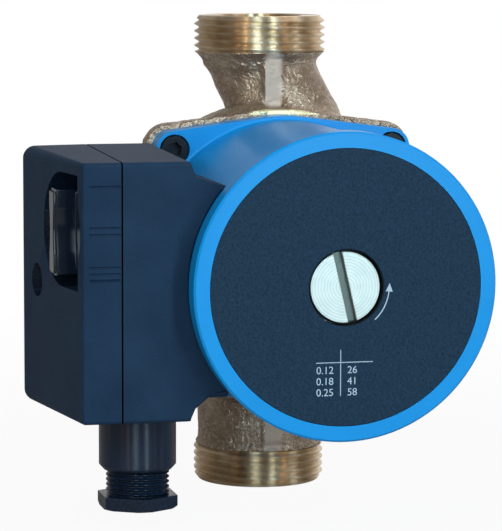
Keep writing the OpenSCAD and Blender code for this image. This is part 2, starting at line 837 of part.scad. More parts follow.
module cover_form(inset) {
  front_r = cover_front_r;
  back_r = cover_back_r - inset;
  hull() {
    for (up = [-box_bottom + inset + front_r, box_top - inset - front_r])
      cover_corner(box_front_w - inset - front_r, up, cover_front_d - inset, front_r);
    for (up = [-box_bottom - box_flare + inset + back_r, box_top + box_flare - inset - back_r])
      cover_corner(box_back_w + inset + back_r, up, cover_back_d - inset, back_r);
    side_slab(inset, seam_d, seam_d + free_gap);
  }
}

// The pocket round the knob, open to the left and run forward to the front wall
module pocket(extra, d0, d1) {
  on_left(knob_w, knob_up) translate([0, 0, d0]) {
    cylinder(h = d1 - d0, r = pocket_r + extra);
    translate([-pocket_r - extra, -pocket_front_w + knob_w - extra, 0])
      cube([2 * (pocket_r + extra), pocket_front_w - knob_w + extra, d1 - d0]);
  }
}

spindle_r = 3;
module terminal_box_cover() {
  color(black) difference() {
    cover_form(0);
    difference() {
      union() {
        cover_form(box_wall);
        side_slab(box_wall, seam_d - overrun, seam_d + free_gap);
      }
      pocket(box_wall, pocket_floor_d - pocket_floor_t, cover_back_d);
      on_left(cover_screw_w, cover_screw_up)
        cylinder(h = cover_back_d, r = screw_well_r + box_wall);
    }
    pocket(0, pocket_floor_d, cover_back_d + overrun);
    on_left(knob_w, knob_up) cylinder(h = cover_back_d, r = spindle_r + free_gap);
    on_left(cover_screw_w, cover_screw_up) {
      cylinder(h = cover_back_d, r = cover_screw_r + free_gap);
      translate([0, 0, well_d]) cylinder(h = cover_back_d, r = screw_well_r);
    }
  }
}

// COVER SCREW, with a cross-slotted pan head, from the cover's well into the base's post
cover_screw_len = 19;
module cover_screw() {
  color("#9fa4a8") on_left(cover_screw_w, cover_screw_up) translate([0, 0, well_d]) {
    cylinder(h = cover_screw_head_t, r = cover_screw_head_r);
    translate([0, 0, -cover_screw_len])
      cylinder(h = cover_screw_len + cover_screw_head_t / 2, r = cover_screw_r);
  }
}

// BOX SCREWS, which hold the base to the motor
box_screw_head_r = 3;
box_screw_head_t = 2.2;
box_screw_depth = 9;
module box_screw() {
  translate([0, 0, -box_screw_depth])
    cylinder(h = box_screw_depth + box_screw_head_t / 2, r = box_screw_r);
  cylinder(h = box_screw_head_t, r = box_screw_head_r);
}

module box_screws() {
  color("#b8bcc0") for (w = box_screw_ws)
    on_left(w, box_screw_up) translate([0, 0, floor_r]) box_screw();
}

// EARTH SCREW, brass, through the base into the motor's metal
module earth_screw() {
  color(brass) on_left(box_screw_ws[1], earth_up) translate([0, 0, cavity_side_d]) box_screw();
}

// SPEED KNOB AND ITS SPINDLE: a round foot with a waisted grip across it, which points down
knob_lift = 0.5;
knob_foot_t = 5.2;
knob_face_out = 17.5;
knob_face_d = seam_d + knob_face_out;
knob_chamfer = 0.8;
grip_w = 9;
grip_tail = 12;
waist_r = 22;
waist_w = 6.8;
spindle_grip = 4;
spindle_sink = 3;
switch_top_in = 2.2;
switch_top_d = seam_d - switch_top_in;
module grip_outline(inset) {
  difference() {
    intersection() {
      translate([-pointer_reach + inset, -grip_w / 2 + inset])
        square([pointer_reach + grip_tail - 2 * inset, grip_w - 2 * inset]);
      circle(pointer_reach - inset);
    }
    for (side = [-1, 1]) translate([0, side * (waist_w / 2 + waist_r)]) circle(waist_r + inset);
  }
}

module speed_knob() {
  knob_d = pocket_floor_d + knob_lift;
  color("#101216") on_left(knob_w, knob_up) difference() {
    union() {
      translate([0, 0, knob_d]) cylinder(h = knob_foot_t, r = knob_r);
      translate([0, 0, knob_d]) linear_extrude(knob_face_d - knob_chamfer - knob_d)
        grip_outline(0);
      translate([0, 0, knob_d]) linear_extrude(knob_face_d - knob_d) grip_outline(knob_chamfer);
    }
    translate([0, 0, knob_d - overrun])
      cylinder(h = spindle_grip + overrun, r = spindle_r + press_gap);
  }
}

module switch_spindle() {
  color("#c9c6b8") on_left(knob_w, knob_up)
    translate([0, 0, switch_top_d - spindle_sink + free_gap])
      cylinder(h = pocket_floor_d + knob_lift + spindle_grip - switch_top_d + spindle_sink
        - 2 * free_gap, r = spindle_r);
}

// SPEED SWITCH, a rotary cam switch on the base's floor
switch_half = 11;
module speed_switch() {
  color("#33363a") difference() {
    box_block(knob_w - switch_half, knob_w + switch_half, knob_up - switch_half,
      knob_up + switch_half, floor_r, switch_top_d);
    on_left(knob_w, knob_up) translate([0, 0, switch_top_d - spindle_sink])
      cylinder(h = spindle_sink + overrun, r = spindle_r + running_gap);
  }
}

// TERMINAL BLOCK with its screws
block_len = 38;
block_h = 10;
block_up = -19;
block_top_out = 15;
block_top_d = barrel_r + block_top_out;
terminal_count = 4;
terminal_in = 11;
terminal_w0 = box_back_w + terminal_in;
terminal_pitch = block_len / terminal_count;
terminal_r = 2;
terminal_t = 1.4;
terminal_depth = 5;
module at_terminals() {
  for (i = [0 : terminal_count - 1])
    on_left(terminal_w0 + terminal_pitch * (i + 1 / 2), block_up + block_h / 2)
      translate([0, 0, block_top_d]) children();
}

module terminal_block() {
  color("#e2ddcc") difference() {
    box_block(terminal_w0, terminal_w0 + block_len, block_up, block_up + block_h, floor_r,
      block_top_d);
    at_terminals() translate([0, 0, -terminal_depth])
      cylinder(h = terminal_depth + overrun, r = terminal_r + press_gap);
    for (i = [0 : terminal_count - 1])
      translate([-block_top_d + terminal_depth, -terminal_w0 - terminal_pitch * (i + 1 / 2),
        axis_h + block_up - overrun]) cylinder(h = block_h / 2, r = terminal_t);
  }
}

module terminal_screws() {
  color(brass) at_terminals() {
    translate([0, 0, -terminal_depth + free_gap])
      cylinder(h = terminal_depth - free_gap, r = terminal_r);
    cylinder(h = terminal_t, r = terminal_r);
  }
}

// CAPACITOR, a moulded block with two round ends, and its two tabs
capacitor_t = 16;
capacitor_len = 27;
capacitor_up = 6;
capacitor_top_out = 24;
capacitor_top_d = barrel_r + capacitor_top_out;
tab_w = 3;
tab_len = 5;
tab_t = 0.8;
capacitor_round = 1.5;
module capacitor() {
  w0 = cavity_back_w + free_gap;
  color("#b9bdbf") {
    intersection() {
      box_block(w0, w0 + capacitor_t, capacitor_up, capacitor_up + capacitor_len, floor_r,
        capacitor_top_d);
      on_left(w0 + capacitor_t / 2, capacitor_up + capacitor_len / 2)
        cylinder(h = capacitor_top_d + overrun, r = capacitor_len / 2 + capacitor_round);
    }
    for (s = [1, 3])
      box_block(w0 + capacitor_t * s / 4 - tab_w / 2, w0 + capacitor_t * s / 4 + tab_w / 2,
        capacitor_up + capacitor_len / 2, capacitor_up + capacitor_len / 2 + tab_t,
        capacitor_top_d - overrun, capacitor_top_d + tab_len);
  }
}

// LEAD GROMMET, rubber, where the winding's leads pass from the motor into the box
grommet_wall = 1;
grommet_lip = 0.8;
module lead_grommet() {
  color("#1d1d1d") on_left(lead_w, lead_up) difference() {
    union() {
      translate([0, 0, boss_reach + overrun])
        cylinder(h = cavity_side_d - boss_reach - overrun + grommet_lip,
          r = lead_hole_r - press_gap);
      translate([0, 0, cavity_side_d + free_gap])
        cylinder(h = grommet_lip, r = lead_hole_r + grommet_lip);
    }
    translate([0, 0, boss_reach - overrun])
      cylinder(h = seam_d - boss_reach, r = lead_hole_r - grommet_wall);
  }
}

// CABLE GLAND: a rubber sleeve and a slip ring in the collar, and the hexagon-headed hollow screw
// that presses them
gland_hex_r = 12.7;
gland_hex_turn = 30;
gland_hex_chamfer = 1.1;
module gland_seal() {
  color("#1d1d1d") at_gland(gland_seat_z) difference() {
    cylinder(h = seal_h - press_gap, r = gland_thread_r + running_gap - press_gap);
    translate([0, 0, -overrun]) cylinder(h = seal_h + overrun + overrun, r = cable_r);
  }
}

module gland_clamp_ring() {
  color("#2e3136") at_gland(gland_screw_top) difference() {
    cylinder(h = slip_ring_h, r = gland_thread_r - free_gap);
    translate([0, 0, -overrun]) cylinder(h = slip_ring_h + overrun + overrun, r = cable_r);
  }
}

module gland_screw() {
  color(black) at_gland(gland_head_z) difference() {
    union() {
      intersection() {
        rotate(gland_hex_turn) cylinder(h = gland_head_h, r = gland_hex_r, $fn = 6);
        cylinder(h = gland_head_h, r1 = gland_hex_r - gland_hex_chamfer,
          r2 = gland_hex_r + gland_head_h);
      }
      cylinder(h = gland_screw_top - gland_head_z, r = gland_thread_r);
    }
    translate([0, 0, -overrun])
      cylinder(h = gland_screw_top - gland_head_z + overrun + overrun, r = cable_r);
  }
}

pump_housing();
neck_ring();
housing_gasket();
bearing_plate();
impeller_bearing();
vent_bearing();
bearing_carrier();
rotor_can();
shaft();
rotor_core();
thrust_ring();
impeller();
impeller_shroud();
stator_core();
stator_windings();
motor_housing();
name_plate();
vent_screw();
vent_seal();
flange_screws();
terminal_box_base();
terminal_box_cover();
cover_screw();
box_gasket();
box_screws();
speed_knob();
switch_spindle();
speed_switch();
terminal_block();
terminal_screws();
capacitor();
earth_screw();
lead_grommet();
gland_screw();
gland_clamp_ring();
gland_seal();
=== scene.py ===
"""Looks of a wet-rotor circulation pump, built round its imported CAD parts.

The sections follow the pump as it is put together, from the bronze housing to the cable gland.
Lengths are in metres in the frame of the CAD parts: the origin is the centre of the lower port's
end face, Z runs up the port axis, and the motor points towards -Y.
"""
from math import cos, hypot, pi, radians, sin

import bmesh
import bpy
from mathutils import Matrix, Vector, noise


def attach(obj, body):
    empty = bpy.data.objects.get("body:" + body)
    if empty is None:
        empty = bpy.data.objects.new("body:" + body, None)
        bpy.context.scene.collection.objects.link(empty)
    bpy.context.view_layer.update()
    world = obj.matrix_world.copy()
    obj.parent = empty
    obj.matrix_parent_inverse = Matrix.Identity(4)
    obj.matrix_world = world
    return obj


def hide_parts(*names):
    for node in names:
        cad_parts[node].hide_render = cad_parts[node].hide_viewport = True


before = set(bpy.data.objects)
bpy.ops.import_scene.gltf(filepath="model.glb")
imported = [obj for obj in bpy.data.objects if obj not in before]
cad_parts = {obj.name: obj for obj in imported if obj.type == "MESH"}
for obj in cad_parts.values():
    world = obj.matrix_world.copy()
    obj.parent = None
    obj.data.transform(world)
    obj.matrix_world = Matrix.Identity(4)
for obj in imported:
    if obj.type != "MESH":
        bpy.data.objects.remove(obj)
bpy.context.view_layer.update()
mm = 0.001


# CAMERA
# A long lens a metre off, to the left of the motor and a little above it, as the photograph has it.
# The picture was cut a little off the lens's centre, which the shift gives back.
photo_w, photo_h = 502, 531
focal_px, centre_x, centre_y = 2975, 246.6, 310
yaw, pitch, roll = radians(13.42), radians(7.5), radians(0.17)
ahead = Vector((sin(yaw) * cos(pitch), cos(yaw) * cos(pitch), -sin(pitch)))
level = Vector((cos(yaw), -sin(yaw), 0))
over = level.cross(ahead)
across = level * cos(roll) + over * sin(roll)
up = over * cos(roll) - level * sin(roll)
lens = bpy.data.cameras.new("camera")
lens.sensor_fit = "VERTICAL"
lens.sensor_height = 36
lens.lens = focal_px / photo_h * lens.sensor_height
lens.shift_x = (photo_w / 2 - centre_x) / photo_h
lens.shift_y = (centre_y - photo_h / 2) / photo_h
lens.clip_start = 0.05
camera = bpy.data.objects.new("camera", lens)
bpy.context.scene.collection.objects.link(camera)
turn = Matrix((across, up, -ahead)).transposed().to_4x4()
camera.matrix_world = Matrix.Translation((-225.9 * mm, -930.1 * mm, 180.7 * mm)) @ turn
bpy.context.scene.camera = camera


# STUDIO
# A pale table top that runs out into a white background. A tall softbox stands beside the camera, a
# second one a little to the right, narrow strips stand further round on both sides, and a window
# lies overhead. The background ends on the left, so mirrored views that way are dark.
def linear(code):
    """Linear colour of an sRGB hex value"""
    parts = [int(code[i:i + 2], 16) / 255 for i in (1, 3, 5)]
    return [c / 12.92 if c <= 0.04045 else ((c + 0.055) / 1.055) ** 2.4 for c in parts] + [1]


def add(tree, kind, inputs=None, **settings):
    """Adds a node to a tree. inputs gives each socket a value, or the output that feeds it."""
    made = tree.nodes.new("ShaderNode" + kind)
    for name, value in settings.items():
        setattr(made, name, value)
    for socket, value in (inputs or {}).items():
        if isinstance(value, bpy.types.NodeSocket):
            tree.links.new(value, made.inputs[socket])
        else:
            made.inputs[socket].default_value = value
    return made


def new_material(name):
    """An empty material and its tree"""
    material = bpy.data.materials.new(name)
    material.use_nodes = True
    material.node_tree.nodes.clear()
    return material, material.node_tree


def built(shape, name):
    """A new object with a bmesh as its mesh"""
    mesh = bpy.data.meshes.new(name)
    shape.to_mesh(mesh)
    shape.free()
    made = bpy.data.objects.new(name, mesh)
    bpy.context.scene.collection.objects.link(made)
    return made


# The background is white to the eye and in mirrored views towards the back. Everything else gets
# the dim light of the room, a little stronger from overhead.
world = bpy.data.worlds.new("studio")
bpy.context.scene.world = world
world.use_nodes = True
tree = world.node_tree
tree.nodes.clear()
ray = add(tree, "LightPath")
direction = add(tree, "TexCoord")
towards = add(tree, "SeparateXYZ", {0: direction.outputs["Generated"]})
behind = add(tree, "MapRange", {"Value": towards.outputs["Y"], "From Min": 0.1, "From Max": 0.6})
rightward = add(tree, "MapRange", {"Value": towards.outputs["X"], "From Min": -0.02, "From Max": 0.24,
                                   "To Min": 0.22, "To Max": 1.0})
screen = add(tree, "Math", {0: behind.outputs[0], 1: rightward.outputs[0]}, operation="MULTIPLY")
room = add(tree, "MapRange", {"Value": towards.outputs["Z"], "From Min": -0.2, "From Max": 0.9,
                              "To Min": 0.12, "To Max": 0.22})
mirrored = add(tree, "Math", {0: ray.outputs["Is Glossy Ray"], 1: ray.outputs["Is Transmission Ray"]},
               operation="MAXIMUM")
mirrored_screen = add(tree, "Math", {0: mirrored.outputs[0], 1: screen.outputs[0]}, operation="MULTIPLY")
shown = add(tree, "Math", {0: ray.outputs["Is Camera Ray"], 1: mirrored_screen.outputs[0]},
            operation="MAXIMUM")
strength = add(tree, "Mix", {0: shown.outputs[0], 2: room.outputs[0], 3: 1.0})
backdrop = add(tree, "Background", {"Color": linear("#ffffff"), "Strength": strength.outputs[0]})
add(tree, "OutputWorld", {"Surface": backdrop.outputs[0]})

# White laminate: it takes the pump's shadow near the pump and fades to pure white further off
white_laminate, tree = new_material("white_laminate")
ray = add(tree, "LightPath")
place = add(tree, "TexCoord")
away = add(tree, "VectorMath", {0: place.outputs["Object"]}, operation="LENGTH")
white = add(tree, "MapRange", {"Value": away.outputs["Value"], "From Min": 0.10, "From Max": 0.45,
                               "To Min": 0.94, "To Max": 1.0})
far = add(tree, "MapRange", {"Value": away.outputs["Value"], "From Min": 0.2, "From Max": 0.7,
                             "To Min": 0.1, "To Max": 1.0})
spread = add(tree, "SeparateXYZ", {0: place.outputs["Object"]})
rightward = add(tree, "MapRange", {"Value": spread.outputs["X"], "From Min": -0.2, "From Max": 0.1,
                                   "To Min": 0.22, "To Max": 1.0})
far_right = add(tree, "Math", {0: far.outputs[0], 1: rightward.outputs[0]}, operation="MULTIPLY")
mirrored = add(tree, "Math", {0: ray.outputs["Is Glossy Ray"], 1: ray.outputs["Is Transmission Ray"]},
               operation="MAXIMUM")
mirrored_far = add(tree, "Math", {0: mirrored.outputs[0], 1: far_right.outputs[0]}, operation="MULTIPLY")
seen = add(tree, "Math", {0: ray.outputs["Is Camera Ray"], 1: mirrored_far.outputs[0]},
           operation="MAXIMUM")
share = add(tree, "Math", {0: seen.outputs[0], 1: white.outputs[0]}, operation="MULTIPLY")
laminate = add(tree, "BsdfDiffuse", {"Color": linear("#b9b7b3")})
glow = add(tree, "Emission", {"Color": linear("#ffffff"), "Strength": 1.0})
both = add(tree, "MixShader", {0: share.outputs[0], 1: laminate.outputs[0], 2: glow.outputs[0]})
add(tree, "OutputMaterial", {"Surface": both.outputs[0]})

sheet = bmesh.new()
sheet.faces.new([sheet.verts.new(corner) for corner in (
    (-5, -0.42, 0), (5, -0.42, 0), (5, 9, 0), (-5, 9, 0))])
floor = built(sheet, "table_top")
floor.location.z = -0.2 * mm
floor.data.materials.append(white_laminate)


def softbox(name, place, aim, size, power, tint):
    """A lamp of a given width and height that looks at a point"""
    lamp = bpy.data.lights.new(name, "AREA")
    lamp.shape = "RECTANGLE"
    lamp.size, lamp.size_y = size
    lamp.energy = power
    lamp.color = linear(tint)[:3]
    holder = bpy.data.objects.new(name, lamp)
    holder.location = place
    holder.rotation_euler = (aim - place).to_track_quat("-Z", "Y").to_euler()
    bpy.context.scene.collection.objects.link(holder)


# The standing lamps are given by their bearing, in degrees to the right of the motor's axis
lamp_away, lamp_tall = 1.1, 1.4
for name, bearing, wide, power, tint in (
        ("beside_camera_softbox", -17.6, 0.22, 8.0, "#d2f0ff"),
        ("right_softbox", 13, 0.10, 7.5, "#d2f0ff"),
        ("left_strip", -39, 0.04, 2.0, "#ffe9c4"),
        ("far_left_strip", -55, 0.04, 0.6, "#ffcf98"),
        ("right_strip", 37, 0.05, 1.1, "#ffdcb0"),
        ("far_right_softbox", 60, 0.2, 2.0, "#e6f4ff")):
    place = Vector((sin(radians(bearing)) * lamp_away, -cos(radians(bearing)) * lamp_away, lamp_tall / 2))
    softbox(name, place, Vector((0, -0.06, lamp_tall / 2)), (wide, lamp_tall), power, tint)
softbox("overhead_window", Vector((0.4, 0.2, 1.0)), Vector((0, -0.06, 0.08)), (0.5, 0.5), 1.5, "#f6f0f8")

bpy.context.scene.view_settings.view_transform = "Standard"


# PUMP HOUSING, the casting
# One sand casting in bronze. It is rough and lumpy all over, its corners are round, and only the
# joint face, the bores and the two threaded ends are machined.
axis_h = 75 * mm
joint_y = -25 * mm
port_span = 150 * mm
thread_len = 11.4 * mm
crest_r = 20.955 * mm
port_bore_r = 13 * mm


def copy_of(node, name):
    """A new piece with a CAD node's mesh, its split edges joined and its flat faces merged"""
    shape = bmesh.new()
    shape.from_mesh(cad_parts[node].data)
    bmesh.ops.remove_doubles(shape, verts=shape.verts, dist=0.0005 * mm)
    bmesh.ops.dissolve_limit(shape, angle_limit=radians(0.4), verts=shape.verts, edges=shape.edges)
    return built(shape, name)


def settle(piece, angle=35):
    """Applies a piece's modifiers and shades it smooth, with edges over an angle kept sharp"""
    bpy.context.view_layer.update()
    solid = piece.evaluated_get(bpy.context.evaluated_depsgraph_get())
    mesh = bpy.data.meshes.new_from_object(solid)
    piece.modifiers.clear()
    piece.data = mesh
    mesh.name = piece.name
    mesh.shade_smooth()
    mesh.set_sharp_from_angle(angle=radians(angle))


def block(name, low, high):
    """A plain box to cut with"""
    shape = bmesh.new()
    bmesh.ops.create_cube(shape, size=1)
    low, high = Vector(low), Vector(high)
    for vertex in shape.verts:
        vertex.co = Vector([(a + b) / 2 + v * (b - a) for a, b, v in zip(low, high, vertex.co)])
    return built(shape, name)


def cut(piece, cutter):
    """Takes a cutter away from a piece, and removes the cutter"""
    step = piece.modifiers.new("cut", "BOOLEAN")
    step.object = cutter
    step.solver = "EXACT"
    settle(piece)
    bpy.data.objects.remove(cutter)


def coat(piece, material):
    """Gives a piece one material all over"""
    piece.data.materials.clear()
    piece.data.materials.append(material)


# The threaded ends are pieces of their own, so they are cut off here
end_reach = 30 * mm
casting = copy_of("pump_housing", "housing_casting")
cut(casting, block("lower_end", (-end_reach, -end_reach, -mm), (end_reach, end_reach, thread_len)))
cut(casting, block("upper_end", (-end_reach, -end_reach, port_span - thread_len),
                   (end_reach, end_reach, port_span + mm)))
step = casting.modifiers.new("skin", "REMESH")
step.mode = "VOXEL"
step.voxel_size = 0.85 * mm
settle(casting)

# Machined or cored parts of the skin: the joint's rim, the port bores, the channel that bends up to
# the impeller, the spiral chamber, and the ends next to the threads
rim_w, end_edge = 0.9 * mm, 0.6 * mm
bore_r = 14.2 * mm
channel_y, channel_r, channel_top = 3 * mm, 12 * mm, 90 * mm
chamber_r, chamber_y = 43 * mm, -7.5 * mm
# The flat strip on the front of both necks, where the sand mould parted
strip_half, strip_y = 3.2 * mm, -18.3 * mm
upper_strip_z, lower_strip_z, strip_share = 120 * mm, 31 * mm, 0.08


def as_cast(point):
    """How rough the sand left a point: 1 on the outside, 0 where a tool or a core made the wall"""
    x, y, z = point
    if y < joint_y + rim_w:
        return 0
    if hypot(x, y) < bore_r or (hypot(x, y - channel_y) < channel_r and z < channel_top):
        return 0
    if z < thread_len + end_edge or z > port_span - thread_len - end_edge:
        return 0
    if hypot(x, z - axis_h) < chamber_r and y < chamber_y:
        return 0
    if abs(x) < strip_half and y < strip_y and (z > upper_strip_z or z < lower_strip_z):
        return strip_share
    return 1


# The casting's corners are rounded all over, apart from the two ends
round_low, round_high = 17 * mm, 133 * mm
cast = casting.vertex_groups.new(name="cast")
shares = [as_cast(v.co) for v in casting.data.vertices]
for vertex, share in zip(casting.data.vertices, shares):
    if share > 0.5 and round_low < vertex.co.z < round_high:
        cast.add([vertex.index], share, "REPLACE")
step = casting.modifiers.new("round", "SMOOTH")
step.factor = 0.5
step.iterations = 7
step.vertex_group = "cast"
settle(casting)

# The sand's lumps lie about 3 mm apart, with dimples twice as wide and grit of 1.25 mm on them
lump, grit, elsewhere = 1 / (3.1 * mm), 1 / (1.25 * mm), Vector((7, 3, 5))
skin_depth, skin_level = 0.75 * mm, 0.22
skin = casting.data
normals = [v.normal.copy() for v in skin.vertices]
for vertex, share, normal in zip(skin.vertices, shares, normals):
    if share:
        place = vertex.co
        rough = (noise.noise(place * lump) * 0.30
                 + abs(noise.noise(place * lump * 0.55 + elsewhere)) * 0.34
                 + noise.noise(place * grit) * 0.13)
        vertex.co = place + normal * (rough - skin_level) * share * skin_depth
skin.shade_smooth()

# Sand-cast bronze: a dull grey-brown skin with the sand's wrinkles about 2 mm apart, paler high
# spots, dark hollows, and small glints where a grain left bare metal
sand_cast_bronze, tree = new_material("sand_cast_bronze")
place = add(tree, "TexCoord")
spot = add(tree, "SeparateXYZ", {0: place.outputs["Object"]})
clouds = add(tree, "TexNoise", {"Vector": place.outputs["Object"], "Scale": 1 / (12 * mm),
                                "Detail": 4.0, "Roughness": 0.6})
wrinkles = add(tree, "TexNoise", {"Vector": place.outputs["Object"], "Scale": 1 / (2.2 * mm), "Detail": 3.0,
                                  "Roughness": 0.6, "Lacunarity": 2.1, "Distortion": 0.5},
               noise_type="RIDGED_MULTIFRACTAL")
grains = add(tree, "TexNoise", {"Vector": place.outputs["Object"], "Scale": 1 / (0.9 * mm), "Detail": 3.0})
height = add(tree, "Mix", {0: 0.35, 2: wrinkles.outputs[0], 3: grains.outputs[0]})
# The strip at the mould's parting is smoother and greyer than the rest, and ragged along its edges
ragged = add(tree, "Math", {0: grains.outputs[0], 1: 2.4 * mm}, operation="MULTIPLY")
sideways = add(tree, "Math", {0: spot.outputs["X"]}, operation="ABSOLUTE")
from_middle = add(tree, "Math", {0: sideways.outputs[0], 1: ragged.outputs[0]}, operation="ADD")
narrow = add(tree, "MapRange", {"Value": from_middle.outputs[0], "From Min": 4.2 * mm,
                                "From Max": 3.8 * mm})
fore = add(tree, "MapRange", {"Value": spot.outputs["Y"], "From Min": -16 * mm, "From Max": -17 * mm})
strip = add(tree, "Math", {0: narrow.outputs[0], 1: fore.outputs[0]}, operation="MULTIPLY")
tone = add(tree, "Mix", {0: 0.45, 2: clouds.outputs[0], 3: height.outputs[0]})
ramp = add(tree, "ValToRGB", {0: tone.outputs[0]})
ramp.color_ramp.elements[0].position = 0.30
ramp.color_ramp.elements[0].color = linear("#937c68")
ramp.color_ramp.elements[1].position = 0.62
ramp.color_ramp.elements[1].color = linear("#d8c4ae")
skin_tint = add(tree, "Mix", {0: strip.outputs[0], 6: ramp.outputs[0], 7: linear("#b39f90")},
                data_type="RGBA")
rough_skin = add(tree, "MapRange", {"Value": grains.outputs[0], "From Min": 0.42, "From Max": 0.62,
                                    "To Min": 0.50, "To Max": 0.22})
sheen = add(tree, "Mix", {0: strip.outputs[0], 2: rough_skin.outputs[0], 3: 0.5})
deep = add(tree, "Mix", {0: strip.outputs[0], 2: 1.0, 3: 0.15})
relief = add(tree, "Bump", {"Height": height.outputs[0], "Strength": deep.outputs[0], "Distance": 1.3 * mm})
# The rim that was turned with the joint face is bright where the casting bulged into the cut
bright_y = add(tree, "MapRange", {"Value": spot.outputs["Y"], "From Min": -23.9 * mm,
                                  "From Max": -24.3 * mm})
bright_z = add(tree, "MapRange", {"Value": spot.outputs["Z"], "From Min": 119.4 * mm,
                                  "From Max": 120 * mm})
off_bulge = add(tree, "Math", {0: spot.outputs["X"], 1: 2 * mm}, operation="SUBTRACT")
off_bulge = add(tree, "Math", {0: off_bulge.outputs[0]}, operation="ABSOLUTE")
bright_x = add(tree, "MapRange", {"Value": off_bulge.outputs[0], "From Min": 12 * mm, "From Max": 9 * mm})
bright = add(tree, "Math", {0: bright_y.outputs[0], 1: bright_z.outputs[0]}, operation="MULTIPLY")
bright = add(tree, "Math", {0: bright.outputs[0], 1: bright_x.outputs[0]}, operation="MULTIPLY")
colour = add(tree, "Mix", {0: bright.outputs[0], 6: skin_tint.outputs[2], 7: linear("#efe6b8")},
             data_type="RGBA")
skin_shader = add(tree, "BsdfPrincipled", {
    "Base Color": colour.outputs[2], "Metallic": 0.75, "Roughness": sheen.outputs[0],
    "Normal": relief.outputs[0]})
add(tree, "OutputMaterial", {"Surface": skin_shader.outputs[0]})
coat(casting, sand_cast_bronze)
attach(casting, "pump")
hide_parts("pump_housing")


# PUMP HOUSING, the threaded ends
# The casting's two ends, turned and threaded G 1 1/4: five pointed ridges, a chamfer at the mouth,
# and bright tool marks round the axis.
def threaded_end(name, crest, pitch, depth, length, bore, chamfer, around=160):
    """A tube with its mouth at z 0 and a right-hand thread outside, as one closed grid"""
    rows_a_turn, flat, lead = 20, 0.1, 0.5 * mm
    chamfer_in, chamfer_long = chamfer
    rows = int(length / pitch * rows_a_turn)
    shape = bmesh.new()

    def ring_of(radii, z):
        turns = [2 * pi * j / around for j in range(around)]
        return [shape.verts.new((r * cos(t), r * sin(t), z)) for r, t in zip(radii, turns)]

    rings = []
    for i in range(rows + 1):
        z = length * i / rows
        radii = []
        for j in range(around):
            phase = (z / pitch + j / around) % 1
            ridge = min(1, max(0, (abs(2 * phase - 1) - flat) / (1 - 2 * flat)))
            radii.append(min(crest - depth * (1 - ridge),
                             crest - chamfer_in + z * chamfer_in / chamfer_long))
        rings.append(ring_of(radii, z))
    for r, z in ((bore, length), (bore, lead), (bore + lead * 0.7, 0)):
        rings.append(ring_of([r] * around, z))
    for a, b in zip(rings, rings[1:] + rings[:1]):
        for j in range(around):
            k = (j + 1) % around
            shape.faces.new((a[j], a[k], b[k], b[j]))
    bmesh.ops.recalc_face_normals(shape, faces=shape.faces)
    made = built(shape, name)
    made.data.shade_smooth()
    made.data.set_sharp_from_angle(angle=radians(38))
    return made


# Turned bronze: clean pale yellow metal. The tool's fine rings round the axis draw every light out
# into a bright streak along the axis. The rings that show are 0.6 mm apart, coarser than the real ones.
turned_bronze, tree = new_material("turned_bronze")
place = add(tree, "TexCoord")
rings = add(tree, "TexWave", {"Vector": place.outputs["Object"], "Scale": 0.314 / (0.6 * mm),
                              "Distortion": 0.8, "Detail": 2.0, "Detail Scale": 0.5},
            bands_direction="Z")
stain = add(tree, "TexNoise", {"Vector": place.outputs["Object"], "Scale": 1 / (7 * mm), "Detail": 4.0})
ramp = add(tree, "ValToRGB", {0: stain.outputs[0]})
ramp.color_ramp.elements[0].position = 0.35
ramp.color_ramp.elements[0].color = linear("#ccb08a")
ramp.color_ramp.elements[1].position = 0.7
ramp.color_ramp.elements[1].color = linear("#f3dfc0")
relief = add(tree, "Bump", {"Height": rings.outputs[1], "Strength": 0.1, "Distance": 0.02 * mm})
round_axis = add(tree, "Tangent", direction_type="RADIAL", axis="Z")
turned = add(tree, "BsdfPrincipled", {
    "Base Color": ramp.outputs[0], "Metallic": 1.0, "Roughness": 0.4, "Anisotropic": 1.0,
    "Anisotropic Rotation": 0.25, "Tangent": round_axis.outputs[0], "Normal": relief.outputs[0]})
add(tree, "OutputMaterial", {"Surface": turned.outputs[0]})

thread_pitch, thread_depth = 2.309 * mm, 1.479 * mm
mouth_chamfer = 1.5 * mm, 1.9 * mm
# The upper end is the same tube upside down, and its thread starts where the photograph has it
at_the_top = (Matrix.Translation((0, 0, port_span)) @ Matrix.Rotation(radians(106), 4, "Z")
              @ Matrix.Rotation(pi, 4, "X"))
for name, place in (("lower_port_thread", Matrix()), ("upper_port_thread", at_the_top)):
    end = threaded_end(name, crest_r, thread_pitch, thread_depth, thread_len, port_bore_r, mouth_chamfer)
    end.data.transform(place)
    coat(end, turned_bronze)
    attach(end, "pump")


